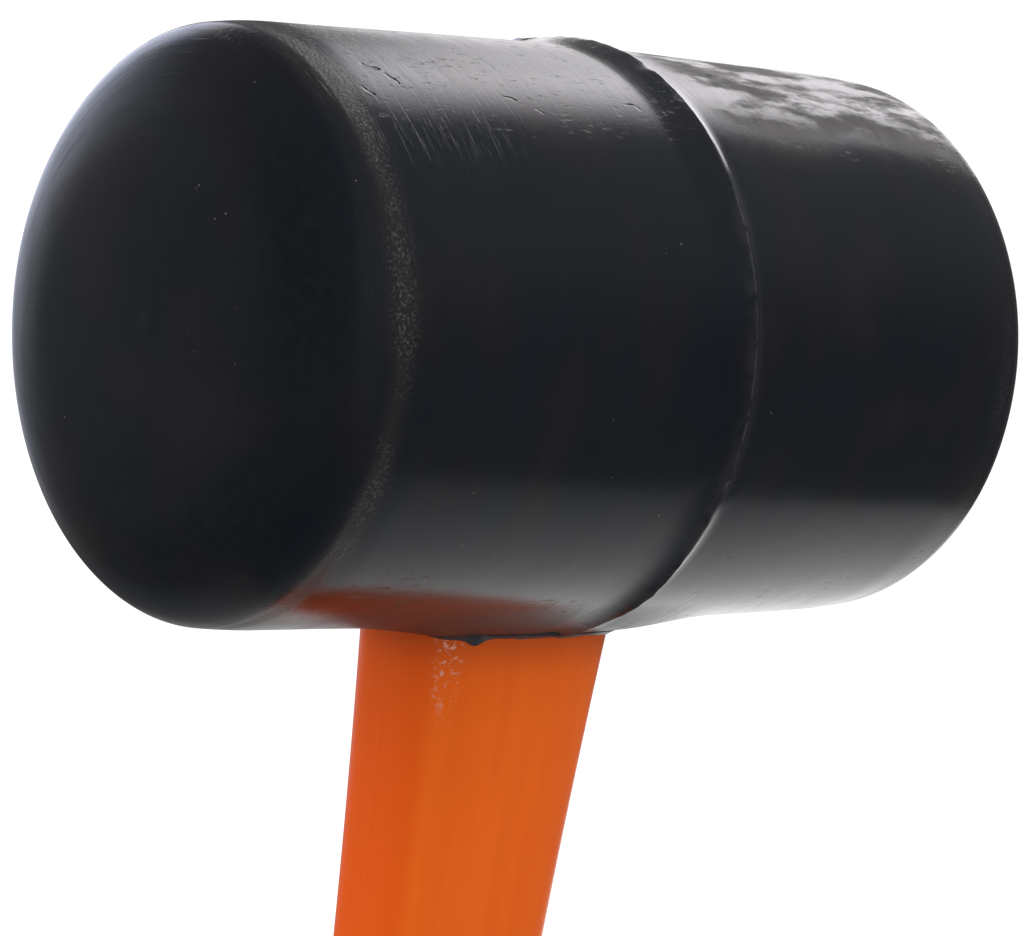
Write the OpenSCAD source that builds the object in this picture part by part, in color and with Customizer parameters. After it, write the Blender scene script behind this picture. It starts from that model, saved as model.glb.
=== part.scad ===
// Rubber mallet: a one-piece rubber head, bonded on the barbed tenon of an orange plastic handle
// that has a glass-fibre core and a ribbed rubber grip.
// Millimetres. +Z runs up the handle, +X along the head, the origin is the middle of the flat butt.

/* [Head] */
// Length of the head between the crowns of its two faces
head_length = 102; // [80:1:140]
// Diameter of the head at the parting line, without the lip
head_diameter = 63; // [56:0.2:90]
// Draft of the head's side towards each face, in degrees
head_draft = 1; // [0:0.1:3]
// Width of the oval edge around each face, measured across the face
edge_width = 12; // [4:0.5:16]
// Depth of the oval edge, measured along the side
edge_depth = 5.5; // [2:0.5:12]
// Radius of the crown on each striking face
crown_radius = 450; // [80:10:600]
// Distance of the parting line from the middle of the head
parting_offset = 2.3; // [-6:0.1:6]
// Rise of the moulding lip at the parting line
lip_height = 0.8; // [0.2:0.1:1.5]
// Width over which the side flares up into the lip
lip_flare = 5; // [1:0.5:8]
// Sweep of the flare, 1 is a straight cone and 2 a hollow curve
lip_sweep = 1.3; // [1:0.1:2]
// Width of the step down from the lip
lip_step = 0.4; // [0.2:0.1:2]

/* [Handle] */
// Height of the head's axis above the butt
head_height = 298; // [250:1:420]
// Width of the handle where it enters the head, measured along the head
neck_width = 27.5; // [22:0.5:32]
// Thickness of the handle where it enters the head
neck_thickness = 19; // [16.5:0.5:26]
// Width of the handle at its throat
throat_width = 20.5; // [18:0.5:28]
// Thickness of the handle at its throat
throat_thickness = 15.5; // [15:0.5:22]
// Length over which the throat flares out to the neck
flare_length = 90; // [40:1:110]
// Squareness of the handle's oval section, 2 is an ellipse
section_power = 3.2; // [2:0.1:5]

/* [Tenon and core] */
// Depth of the socket in the head, from the underside of the head
socket_depth = 50; // [34:1:54]
// Straight part of the tenon below its barbs
tenon_lead = 10; // [4:1:16]
// How much the tenon draws in all round from the neck to its tip
tenon_taper = 1.5; // [0:0.1:2.5]
// Number of barbs around the tenon
barb_count = 4; // [2:1:8]
// Depth of the barbs
barb_depth = 0.9; // [0.3:0.1:1.2]
// Adhesive line between the tenon and its socket
bond_line = 0.1; // [0.05:0.05:0.3]
// Diameter of the glass-fibre core
core_diameter = 10; // [6:0.5:10]
// Clearance all round the core
core_clearance = 0.05; // [0.02:0.01:0.15]

/* [Grip] */
// Height of the foot of the plastic handle above the butt
foot_height = 24; // [20:1:32]
// Height of the widest part of the butt
butt_crest = 8; // [6:0.5:12]
// Length from the widest part of the butt up to the waist of the grip
heel_length = 40; // [26:1:60]
// Length from the waist up to the crest of the palm swell
palm_length = 45; // [30:1:60]
// Length from the crest up to the collar
front_length = 42; // [30:1:60]
// Depth of the seat that the grip is moulded into
seat_recess = 1.2; // [0.6:0.1:1.5]
// Rubber over the seat at the butt
butt_wall = 7; // [5:0.5:10]
// Rubber over the seat at the waist
waist_wall = 4.2; // [3:0.1:6]
// Rubber over the seat at the crest of the palm swell
palm_wall = 5.4; // [4:0.1:8]
// Rubber over the seat at the collar
collar_wall = 2.2; // [1.8:0.1:4]
// Radius of the rounded edge of the butt
butt_round = 5; // [1:0.5:6]
// Radius of the rounded edge of the collar
collar_round = 1; // [0.4:0.1:1.6]
// Squareness of the grip's oval section, 2 is an ellipse
grip_power = 2.5; // [2:0.1:4]
// Number of grooves around the grip
groove_count = 9; // [4:1:11]
// Distance from one groove to the next
groove_pitch = 8; // [5:0.5:9]
// Depth of the grooves
groove_depth = 1.1; // [0.4:0.1:1.8]
// Number of rings that key the grip to the handle
key_count = 3; // [1:1:5]
// Width of each key ring
key_width = 8; // [4:1:12]
// Depth of each key ring
key_depth = 0.6; // [0.2:0.1:0.8]
// Clearance between the grip and its seat
grip_clearance = 0.05; // [0.02:0.01:0.15]
// Diameter of the hanging hole
hang_diameter = 8; // [5:0.5:10]
// Height of the hanging hole above the butt
hang_height = 12; // [9:0.5:14]
// Depth of the flat lands of the hanging hole below the widest part of the butt
hang_recess = 1.55; // [1.2:0.05:3]
// Width of the flat land around each end of the hanging hole
hang_land = 2.5; // [1:0.5:3]

/* [Hidden] */

head_radius = head_diameter / 2;
underside = head_height - head_radius;
tenon_tip = underside + socket_depth - bond_line;
waist_height = butt_crest + heel_length;
palm_height = waist_height + palm_length;
grip_top = palm_height + front_length;
flare_start = underside - flare_length;
seat_half = [throat_width / 2 - seat_recess, throat_thickness / 2 - seat_recess];
throat_half = [throat_width / 2, throat_thickness / 2];
neck_half = [neck_width / 2, neck_thickness / 2];
core_bore = core_diameter + 2 * core_clearance;
hang_length = 2 * (seat_half[1] + butt_wall - hang_recess);
hang_land_diameter = hang_diameter + 2 * hang_land;
// Points around one oval section, steps along a curve, and steps around a round edge
ring_points = 36;
curve_steps = 12;
edge_steps = 6;
// Overrun of a cut past the face that it opens
overrun = 5;

// Helpers for curves

function signed_power(v, p) = sign(v) * pow(abs(v), p);
function ease(t) = (1 - cos(180 * t)) / 2;
function blend(a, b, t) = a + (b - a) * ease(t);
function spread(first, last, steps) = [for (i = [0:steps]) first + (last - first) * i / steps];

// A station is [height, half width, half thickness, squareness], and ring() is its oval outline

function station(height, half, grow = 0, power = section_power) =
    [height, half[0] + grow, half[1] + grow, power];
function ring(s) = [
    for (i = [0:ring_points - 1])
        let (a = 360 * i / ring_points, p = 2 / s[3])
        [s[1] * signed_power(cos(a), p), s[2] * signed_power(sin(a), p), s[0]]
];

// Closed skin over a list of stations, capped at the first and the last
module loft(stations) {
    n = ring_points;
    last = len(stations) - 1;
    sides = [
        for (k = [0:last - 1], i = [0:n - 1])
            let (j = (i + 1) % n, low = k * n, high = low + n)
            each [[low + i, high + i, high + j], [low + i, high + j, low + j]]
    ];
    first_cap = [for (i = [0:n - 1]) i];
    last_cap = [for (i = [n - 1:-1:0]) last * n + i];
    polyhedron(points = [for (s = stations) each ring(s)], faces = concat([first_cap], sides, [last_cap]));
}

// Profile of the head as [radius, distance along the head from its middle]

// Fall of the crown at a radius r
function crown_fall(r) = crown_radius - sqrt(crown_radius * crown_radius - r * r);
// Turn around the oval edge to the place where it slopes by an angle a
function edge_turn(a) = atan2(edge_width * sin(a), edge_depth * cos(a));
// One end, from the crown to the oval edge, where reach is its length from the parting line
function head_end(reach) =
    let (
        slope_end = 90 - head_draft,
        side_end = head_radius - (reach - edge_depth) * tan(head_draft),
        edge_start = side_end - edge_width * sin(edge_turn(slope_end)),
        half = head_length / 2,
        crown = [for (r = spread(0, edge_start, edge_steps)) [r, half - crown_fall(r)]],
        edge = [
            for (a = spread(0, slope_end, curve_steps))
                let (u = edge_turn(a), r = edge_start + edge_width * sin(u))
                [r, half - crown_fall(r) - edge_depth * (1 - cos(u))]
        ]
    )
    concat(crown, [for (i = [1:curve_steps]) edge[i]]);

// The flare from the drafted side up to the lip at the parting line
lip_profile = [
    for (t = spread(0, 1, edge_steps))
        [
            head_radius - lip_flare * (1 - t) * tan(head_draft) + lip_height * pow(t, lip_sweep),
            parting_offset - lip_flare * (1 - t)
        ]
];
near_end = [for (p = head_end(head_length / 2 + parting_offset)) [p[0], -p[1]]];
far_end = head_end(head_length / 2 - parting_offset);
head_profile = concat(
    near_end,
    lip_profile,
    [[head_radius - lip_step * tan(head_draft), parting_offset + lip_step]],
    [for (i = [len(far_end) - 1:-1:0]) far_end[i]]
);

// Stations of the plastic handle, from its foot in the grip up to the tip of the tenon

key_pitch = (grip_top - foot_height) / (key_count + 1);
function seat_stations(grow) = concat(
    [station(foot_height - grow, seat_half, grow)],
    [
        for (k = [1:key_count])
            let (low = foot_height + k * key_pitch - key_width / 2, high = low + key_width)
            each [
                station(low, seat_half, grow),
                station(low, seat_half, grow - key_depth),
                station(high, seat_half, grow - key_depth),
                station(high, seat_half, grow)
            ]
    ],
    [station(grip_top, seat_half, grow)]
);
function flare_half(height) =
    let (t = (height - flare_start) / flare_length)
    throat_half + (neck_half - throat_half) * t * t;
flare_stations = [
    for (z = spread(flare_start, underside, curve_steps)) station(z, flare_half(z))
];
barb_pitch = (tenon_tip - underside - tenon_lead) / barb_count;
function tenon_stations(grow) = [
    for (b = [0:barb_count - 1])
        let (
            low = underside + tenon_lead + b * barb_pitch,
            draw_low = tenon_taper * b / barb_count,
            draw_high = tenon_taper * (b + 1) / barb_count + barb_depth,
            top = b == barb_count - 1 ? low + barb_pitch + grow : low + barb_pitch
        )
        each [station(low, neck_half, grow - draw_low), station(top, neck_half, grow - draw_high)]
];

// Stations of the grip, up its outside and then down its inside

// Rubber over the seat, without grooves
function grip_wall(height) =
    height <= butt_crest ? butt_wall
    : height <= waist_height ? blend(butt_wall, waist_wall, (height - butt_crest) / heel_length)
    : height <= palm_height ? blend(waist_wall, palm_wall, (height - waist_height) / palm_length)
    : blend(palm_wall, collar_wall, (height - palm_height) / front_length);
// The section turns into the handle's own towards the collar
function grip_squareness(height) =
    height <= palm_height ? grip_power
    : blend(grip_power, section_power, (height - palm_height) / front_length);
function grip_station(height, cut = 0) =
    station(height, seat_half, grip_wall(height) - cut, grip_squareness(height));
// One groove as [share of the pitch, share of the depth]: a flat rib, then a flat-bottomed groove
groove_profile = [[0, 0], [0.5, 0], [0.62, 1], [0.88, 1]];
groove_start = (foot_height + grip_top - groove_count * groove_pitch) / 2;
groove_end = groove_start + groove_count * groove_pitch;
butt_edge = [
    for (a = spread(0, 90, edge_steps))
        grip_station(butt_round * (1 - cos(a)), butt_round * (1 - sin(a)))
];
heel_stations = [
    for (z = spread(butt_round, groove_start, curve_steps))
        if (z > butt_round) grip_station(z)
];
groove_stations = [
    for (g = [0:groove_count - 1], p = groove_profile)
        if (g > 0 || p[0] > 0)
            grip_station(groove_start + (g + p[0]) * groove_pitch, p[1] * groove_depth)
];
front_stations = [for (z = spread(groove_end, grip_top - collar_round, edge_steps)) grip_station(z)];
collar_edge = [
    for (a = spread(0, 90, edge_steps))
        if (a > 0)
            let (z = grip_top - grip_clearance - collar_round * (1 - sin(a)))
            grip_station(z, collar_round * (1 - cos(a)))
];
grip_cavity = seat_stations(grip_clearance);
grip_bore = [for (i = [len(grip_cavity) - 2:-1:0]) grip_cavity[i]];
grip_mouth = station(grip_top - grip_clearance, seat_half, grip_clearance);

// Sub-parts

module rubber_head() {
    color("#232427")
    difference() {
        translate([0, 0, head_height])
            rotate([0, 90, 0])
            rotate_extrude($fn = 96)
            polygon(head_profile);
        loft(concat(
            [station(underside - overrun, flare_half(underside - overrun), bond_line)],
            [station(underside, neck_half, bond_line)],
            tenon_stations(bond_line)
        ));
    }
}

module handle_jacket() {
    color("#d8601c")
    difference() {
        loft(concat(
            seat_stations(0),
            [station(grip_top, throat_half)],
            flare_stations,
            tenon_stations(0)
        ));
        translate([0, 0, foot_height - overrun])
            cylinder(d = core_bore, h = tenon_tip - foot_height + 2 * overrun, $fn = 64);
    }
}

module glass_fibre_core() {
    color("#d9d3b4")
    translate([0, 0, foot_height])
        cylinder(d = core_diameter, h = tenon_tip - foot_height, $fn = 64);
}

module rubber_grip() {
    color("#2b2c2f")
    difference() {
        loft(concat(
            butt_edge,
            heel_stations,
            groove_stations,
            front_stations,
            collar_edge,
            [grip_mouth],
            grip_bore
        ));
        translate([0, 0, hang_height])
            rotate([90, 0, 0])
            cylinder(d = hang_diameter, h = hang_length + 2 * overrun, center = true, $fn = 64);
        for (side = [-1, 1])
            translate([0, side * (hang_length + overrun) / 2, hang_height])
                rotate([90, 0, 0])
                cylinder(d = hang_land_diameter, h = overrun, center = true, $fn = 64);
    }
}

rubber_head();
handle_jacket();
glass_fibre_core();
rubber_grip();
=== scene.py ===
"""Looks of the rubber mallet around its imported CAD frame, in metres and in the CAD's own axes.

+Z runs up the handle, +X along the head to its far face, and the origin is the middle of the butt.
"""

import math

import bmesh
import bpy
import numpy as np
from mathutils import Matrix, Quaternion, Vector, noise


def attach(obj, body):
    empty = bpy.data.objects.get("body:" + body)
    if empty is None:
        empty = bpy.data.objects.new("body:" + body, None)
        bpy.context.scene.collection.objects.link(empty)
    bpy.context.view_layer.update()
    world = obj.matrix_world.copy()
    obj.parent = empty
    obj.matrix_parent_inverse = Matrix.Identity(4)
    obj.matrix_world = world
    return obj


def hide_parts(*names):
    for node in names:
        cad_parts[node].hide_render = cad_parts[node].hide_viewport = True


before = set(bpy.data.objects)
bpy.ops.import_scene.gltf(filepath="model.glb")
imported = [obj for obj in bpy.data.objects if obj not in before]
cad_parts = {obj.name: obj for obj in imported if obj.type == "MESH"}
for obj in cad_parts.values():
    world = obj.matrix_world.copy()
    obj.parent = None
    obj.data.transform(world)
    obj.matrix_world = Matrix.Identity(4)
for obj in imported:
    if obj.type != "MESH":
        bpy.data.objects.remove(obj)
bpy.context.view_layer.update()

MM = 0.001

# Head, the same driving sizes as the CAD's
HEAD_LENGTH = 102 * MM
HEAD_RADIUS = 31.5 * MM
HEAD_AXIS = 298 * MM
HEAD_DRAFT = math.radians(1)
EDGE_WIDTH = 12 * MM
EDGE_DEPTH = 5.5 * MM
CROWN_RADIUS = 450 * MM
PARTING = 2.3 * MM
LIP_HEIGHT = 0.8 * MM
LIP_FLARE = 5 * MM
LIP_SWEEP = 1.3
HALF_LENGTH = HEAD_LENGTH / 2
HEAD_MIDDLE = Vector((0, 0, HEAD_AXIS))

# Lip at the parting line, with turns from the head's top in radians and noises as (depth, size, seed)
# Steeper sweep that the flare gains on the head's underside
LIP_HOLLOW = 2.4
HOLLOW_TURNS = (1.7, 2.3)
# Foot on the far side, a hollow fillet, and the torn part of it next to the crest
LIP_FOOT = 3.0 * MM
FOOT_SWEEP = 3
LIP_BACK = 1.3 * MM
# Share of its height that the lip loses beside the neck
LIP_SINK = 0.7
# Torn share of the lip's height, which dies out quickly below the crest
LIP_TEAR = 0.06
TEAR_NOISES = ((0.07, 3.1 * MM, 3), (0.09, 0.8 * MM, 5))
TEAR_SWEEP = 7
MOST_TORN = 0.85
NOTCH_SHARE = 0.14
NOTCH_SIZE = 1.5 * MM
NOTCH_SEED = 9
NOTCH_SPAN = (0.40, 0.52)
WAVER_NOISES = ((0.05 * MM, 2.6 * MM, 7), (0.04 * MM, 0.8 * MM, 8))
# Taller rags of flash, one behind the top and one in front of the lowest place
TONGUE_HEIGHT = 0.8 * MM
TONGUE_MEAN = 0.85
TONGUE_NOISES = ((0.35, 1.4 * MM, 21),)
TONGUE_RISE = (0.20, 0.42)
TONGUE_FALL = (0.80, 0.50)
LOW_TONGUE = (3.87, 0.16)
LOW_TONGUE_SHARE = 0.5

# Wear and swell of the head's skin
# The shoulder is rounded from the side into the edge: distances from the end, then radii
SHOULDER_WEAR = 0.3 * MM
SHOULDER_REACH = (12 * MM, 4 * MM)
SHOULDER_RADII = (12 * MM, 28 * MM)
# The near face's rim is worn most behind its top
RIM_WEAR = 0.4 * MM
RIM_REACH = (10 * MM, 5 * MM)
RIM_RADII = (16 * MM, 27 * MM)
RIM_TURN = (0.75, 0.6)
# The rubber swells around the neck, out to this many times the neck's size
MOUTH_SWELL = 1.0 * MM
SWELL_REACH = 1.9
SWELL_LEAST = 0.12
# Slow unevenness of the moulding
UNEVEN_NOISES = ((0.09 * MM, 16 * MM, 1), (0.018 * MM, 5 * MM, 2))

# Rings and points of the head's skin
HEAD_SEGMENTS = 384
CROWN_RINGS = 20
EDGE_RINGS = 30
FLARE_RINGS = 22
FOOT_RINGS = 16
SIDE_STEP = 0.7 * MM

# Flash that was squeezed out around the neck: its section as (out, down) shares
FLASH_THICKNESS = 0.38 * MM
FLASH_DROP = 0.34 * MM
FLASH_LEAST = 0.05 * MM
FLASH_ROOT = 1.2 * MM
FLASH_NOISES = ((0.16 * MM, 5 * MM, 11), (0.10 * MM, 1.3 * MM, 12))
FLASH_SECTION = ((0, 1), (0.45, 0.96), (0.8, 0.6), (2.2, -0.25))
# A longer tab at the front corner, as (turn, width), and what is lost on the narrow side
TAB_DROP = 0.75 * MM
TAB_TURN = (math.radians(240), 0.10)
FLASH_LOSS = 0.75
LOSS_WIDTH = 0.12

# Where the head's rubber looks worn, and where its lip gets a painted highlight
# The tight turn of its edge, in from the end and down from the side
EDGE_IN = 7.3 * MM
EDGE_DOWN = 1.1 * MM
EDGE_BAND = 1.35 * MM
FAR_EDGE_SHARE = 0.3
# Two stretches of the lip's crest get the strongest painted highlight, as (turn, width)
HIGHLIGHT_STRETCHES = ((-1.95, 0.3), (-0.9, 0.3))
HIGHLIGHT_LEAST = 0.3
HIGHLIGHT_GAIN = 0.7
# Dull rubber beside the neck, which reaches farther towards the near face
DULL_MIDDLE = -18 * MM
DULL_HALF = 14 * MM
DULL_STRETCH = 1.5
DULL_REACH = (22 * MM, 14 * MM)

# Handle
NECK = (13.75 * MM, 9.5 * MM)
THROAT = (10.25 * MM, 7.75 * MM)
FLARE_LENGTH = 90 * MM
HANDLE_POWER = 3.2
HANDLE_STEP = 1.4 * MM
SOCKET_DEPTH = 50 * MM
TENON_LEAD = 10 * MM
TENON_TAPER = 1.5 * MM
BARBS = 4
BARB_DEPTH = 0.9 * MM
BOND_LINE = 0.1 * MM
CORE_BORE = 5.05 * MM
UNDERSIDE = HEAD_AXIS - HEAD_RADIUS
TENON_TIP = UNDERSIDE + SOCKET_DEPTH - BOND_LINE
OVAL_POINTS = 240
OVAL_STEPS = 20000
# How far the plain neck runs on into the head
NECK_RUN = 2 * MM
# Moulding seam along the narrow sides
SEAM_HEIGHT = 0.06 * MM
SEAM_WIDTH = 0.3 * MM
# Scuffed front corner, as (turn, width)
SCUFF_TURN = (math.radians(-137), 0.09)

# Grip
FOOT = 24 * MM
GRIP_TOP = 135 * MM
BUTT_CREST = 8 * MM
WAIST = 48 * MM
PALM = 93 * MM
SEAT_RECESS = 1.2 * MM
SEAT = (THROAT[0] - SEAT_RECESS, THROAT[1] - SEAT_RECESS)
BUTT_WALL = 7 * MM
WAIST_WALL = 4.2 * MM
PALM_WALL = 5.4 * MM
COLLAR_WALL = 2.2 * MM
BUTT_ROUND = 5 * MM
COLLAR_ROUND = 1 * MM
GRIP_POWER = 2.5
GRIP_STEP = 1.2 * MM
GROOVES = 9
GROOVE_PITCH = 8 * MM
GROOVE_DEPTH = 1.1 * MM
GROOVE_RINGS = 20
# Shares of the pitch over which a groove falls in and rises out
GROOVE_IN = (0.48, 0.64)
GROOVE_OUT = (1.02, 0.86)
GROOVES_LOW = (FOOT + GRIP_TOP - GROOVES * GROOVE_PITCH) / 2
GROOVES_HIGH = GROOVES_LOW + GROOVES * GROOVE_PITCH
GRIP_CLEARANCE = 0.05 * MM
GRIP_END = GRIP_TOP - GRIP_CLEARANCE
KEYS = 3
KEY_WIDTH = 8 * MM
KEY_DEPTH = 0.6 * MM
HANG_RADIUS = 4 * MM
HANG_HEIGHT = 12 * MM
HANG_LENGTH = 24 * MM
HANG_LAND = 6.5 * MM
HANG_ROUND = 0.5 * MM
HANG_SIDES = 96
# Rings of the three rounded rims
BUTT_RINGS = 13
COLLAR_RINGS = 7
HANG_RINGS = 6
# How far a cutter reaches past what it cuts
CUT_REACH = 5 * MM

# The photograph's camera, fitted to the outline of the head and the handle
IMAGE_WIDTH = 1024
FOCAL_PIXELS = 3750
SENSOR_WIDTH = 36
CAMERA_PLACE = Vector((-0.273756, -0.294217, 0.350105))
CAMERA_RIGHT = Vector((0.73982, -0.65679, 0.14591))
CAMERA_UP = Vector((0.00244, 0.21949, 0.97561))
# Level directions away from the camera and to its right
BACK = Vector((0.682, 0.731, 0.0))
SIDE = Vector((0.731, -0.682, 0.0))
UP = Vector((0, 0, 1))


# Numbers and noise

def smooth(low, high, value):
    t = np.clip((value - low) / (high - low), 0, 1)
    return t * t * (3 - 2 * t)


def bell(value, middle, width):
    return np.exp(-(((value - middle) / width) ** 2))


def grain(points, size, seed):
    """Smooth noise from -1 to 1 at each point, with features of that size."""
    shift = Vector((seed, 2 * seed, 3 * seed))
    flat = points.reshape(-1, 3)
    values = [noise.noise(Vector(p) / size + shift) for p in flat]
    return np.array(values).reshape(points.shape[:-1])


def layered(points, noises):
    """Sum of noises of (depth, size, seed) at each point."""
    return sum(depth * grain(points, size, seed) for depth, size, seed in noises)


# Meshes

def add_object(name, points, faces):
    mesh = bpy.data.meshes.new(name)
    mesh.from_pydata([tuple(p) for p in points], [], faces)
    mesh.validate()
    item = bpy.data.objects.new(name, mesh)
    bpy.context.scene.collection.objects.link(item)
    return item


def band_faces(rows, columns, closed=False):
    """Quads of a tube of closed rings, numbered ring by ring, which may also meet its own start."""
    faces = []
    for row in range(rows if closed else rows - 1):
        low = row * columns
        high = (row + 1) % rows * columns
        for i in range(columns):
            j = (i + 1) % columns
            faces.append((low + i, low + j, high + j, high + i))
    return faces


def loft(name, rings):
    """Closed skin over rings of points, capped at the first and the last."""
    rows, columns, _ = rings.shape
    faces = band_faces(rows, columns)
    faces.append(tuple(range(columns - 1, -1, -1)))
    faces.append(tuple(range((rows - 1) * columns, rows * columns)))
    return add_object(name, rings.reshape(-1, 3), faces)


def sleeve(name, rings):
    """Closed skin over rings of points, whose last ring meets the first."""
    rows, columns, _ = rings.shape
    return add_object(name, rings.reshape(-1, 3), band_faces(rows, columns, closed=True))


def vertices(item):
    place = np.zeros(len(item.data.vertices) * 3)
    item.data.vertices.foreach_get("co", place)
    return place.reshape(-1, 3)


def store(item, name, values):
    """Keeps one number for each point, which the material reads by name."""
    layer = item.data.attributes.new(name, "FLOAT", "POINT")
    layer.data.foreach_set("value", np.asarray(values, np.float32).ravel())


def shade(item, angle=32):
    """Smooth faces, with edges sharper than the angle in degrees kept crisp."""
    work = bmesh.new()
    work.from_mesh(item.data)
    bmesh.ops.recalc_face_normals(work, faces=work.faces)
    for face in work.faces:
        face.smooth = True
    for edge in work.edges:
        edge.smooth = not edge.is_manifold or edge.calc_face_angle(0) < math.radians(angle)
    work.to_mesh(item.data)
    work.free()


def cut(item, cutter):
    """Takes the cutter's form out of the item and deletes the cutter."""
    step = item.modifiers.new("cut", "BOOLEAN")
    step.object = cutter
    step.operation = "DIFFERENCE"
    step.solver = "EXACT"
    graph = bpy.context.evaluated_depsgraph_get()
    made = bpy.data.meshes.new_from_object(item.evaluated_get(graph))
    item.modifiers.clear()
    old = item.data
    name = old.name
    item.data = made
    bpy.data.meshes.remove(old)
    made.name = name
    bpy.data.objects.remove(cutter)


def join(item, other):
    """Adds the other object's mesh to the item and deletes the other object."""
    work = bmesh.new()
    work.from_mesh(item.data)
    work.from_mesh(other.data)
    work.to_mesh(item.data)
    work.free()
    bpy.data.objects.remove(other)


# Oval sections of the handle and the grip

def oval(angles, half, power):
    """Points of an oval, squarer where the power is higher."""
    across = np.cos(angles)
    over = np.sin(angles)
    x = half[0] * np.sign(across) * np.abs(across) ** (2 / power)
    y = half[1] * np.sign(over) * np.abs(over) ** (2 / power)
    return np.stack([x, y], axis=-1)


def even_angles(half, power, count):
    """Angles whose points are evenly spaced around an oval."""
    angles = np.linspace(0, 2 * math.pi, OVAL_STEPS + 1)
    outline = oval(angles, half, power)
    steps = np.linalg.norm(np.diff(outline, axis=0), axis=1)
    length = np.concatenate([[0], np.cumsum(steps)])
    return np.interp(np.arange(count) * length[-1] / count, length, angles)


OVAL_ANGLES = even_angles(NECK, HANDLE_POWER, OVAL_POINTS)


def oval_ring(height, half, power, grow=0.0):
    flat = oval(OVAL_ANGLES, (half[0] + grow, half[1] + grow), power)
    return np.column_stack([flat, np.full(len(flat), height)])


def side_points(first, last, step):
    """Evenly spaced places from first to last, no farther apart than the step."""
    count = max(2, int(math.ceil(abs(last - first) / step)) + 1)
    return np.linspace(first, last, count)


# Rubber head

def crown_fall(radius):
    return CROWN_RADIUS - np.sqrt(CROWN_RADIUS ** 2 - radius ** 2)


def edge_turn(slope):
    """Turn around the oval edge to the place where it has that slope."""
    return np.arctan2(EDGE_WIDTH * np.sin(slope), EDGE_DEPTH * np.cos(slope))


def head_end(reach):
    """Radius and distance from the middle, from the crown to the end of the oval edge."""
    slope_end = math.pi / 2 - HEAD_DRAFT
    side_end = HEAD_RADIUS - (reach - EDGE_DEPTH) * math.tan(HEAD_DRAFT)
    edge_start = side_end - EDGE_WIDTH * np.sin(edge_turn(slope_end))
    crown_r = np.linspace(0, edge_start, CROWN_RINGS)
    turn = edge_turn(np.linspace(0, slope_end, EDGE_RINGS)[1:])
    edge_r = edge_start + EDGE_WIDTH * np.sin(turn)
    radius = np.concatenate([crown_r, edge_r])
    drop = np.concatenate([np.zeros_like(crown_r), EDGE_DEPTH * (1 - np.cos(turn))])
    return radius, HALF_LENGTH - crown_fall(radius) - drop


def side_radius(x):
    return HEAD_RADIUS - np.abs(x - PARTING) * math.tan(HEAD_DRAFT)


def end_share(distance, r, reach, radii):
    """Share of a wear that grows towards an end of the head and towards its rim."""
    start, full = reach
    return smooth(HALF_LENGTH - start, HALF_LENGTH - full, distance) * smooth(*radii, r)


def head_profile():
    """Distance along the head and radius, from the near crown to the far crown."""
    near_r, near_out = head_end(HALF_LENGTH + PARTING)
    far_r, far_out = head_end(HALF_LENGTH - PARTING)
    near_side = side_points(-near_out[-1], PARTING - LIP_FLARE, SIDE_STEP)[1:-1]
    flare = np.linspace(0, 1, FLARE_RINGS)
    flare_x = PARTING - LIP_FLARE * (1 - flare)
    flare_r = side_radius(flare_x) + LIP_HEIGHT * flare ** LIP_SWEEP
    drop = np.linspace(0, 1, FOOT_RINGS)[1:]
    drop_x = PARTING + LIP_FOOT * drop
    drop_r = side_radius(drop_x) + LIP_HEIGHT * (1 - drop) ** FOOT_SWEEP
    far_side = side_points(PARTING + LIP_FOOT, far_out[-1], SIDE_STEP)[1:-1]
    x = np.concatenate([-near_out, near_side, flare_x, drop_x, far_side, far_out[::-1]])
    r = np.concatenate([
        near_r, side_radius(near_side), flare_r, drop_r, side_radius(far_side), far_r[::-1]
    ])
    return x, r - SHOULDER_WEAR * end_share(np.abs(x), r, SHOULDER_REACH, SHOULDER_RADII)


def profile_normals(x, r):
    """Outward direction of the profile at each of its points, along the axis and the radius."""
    along = np.gradient(x)
    outward = np.gradient(r)
    length = np.hypot(along, outward)
    normal_x = -outward / length
    normal_r = along / length
    normal_x[[0, -1]] = (-1, 1)
    normal_r[[0, -1]] = 0
    return normal_x[:, None], normal_r[:, None]


def mouth_swell(x, y):
    """Rubber pressed outwards around the neck, most beside the handle's broad sides."""
    power = HANDLE_POWER
    level = ((np.abs(x) / NECK[0]) ** power + (np.abs(y) / NECK[1]) ** power) ** (1 / power)
    broad = np.abs(y) / (NECK[1] * np.maximum(level, 0.2))
    share = SWELL_LEAST + (1 - SWELL_LEAST) * smooth(0.1, 0.8, broad)
    return MOUTH_SWELL * share * smooth(SWELL_REACH, 1.0, level)


def rim_points(angles):
    """Places around the head at which the lip's noises are read."""
    return HEAD_RADIUS * np.column_stack([np.cos(angles), np.sin(angles), np.zeros_like(angles)])


def lip_wear(angles):
    """How much of the lip's height is torn away around the head, and its sideways waver."""
    around = rim_points(angles)
    torn = LIP_TEAR + layered(around, TEAR_NOISES)
    torn += NOTCH_SHARE * smooth(*NOTCH_SPAN, grain(around, NOTCH_SIZE, NOTCH_SEED))
    return np.clip(torn, 0, MOST_TORN), layered(around, WAVER_NOISES)


def lip_tongue(angles):
    """Height of the taller rags of flash around the lip."""
    rag = TONGUE_MEAN + layered(rim_points(angles), TONGUE_NOISES)
    top = smooth(*TONGUE_RISE, angles) * smooth(*TONGUE_FALL, angles)
    return TONGUE_HEIGHT * rag * (top + LOW_TONGUE_SHARE * bell(angles, *LOW_TONGUE))


def head_points(x, r, angles):
    """Points at a distance along the head, a radius and an angle from the top towards +Y."""
    return np.stack([x, r * np.sin(angles), HEAD_AXIS + r * np.cos(angles)], axis=-1)


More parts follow.
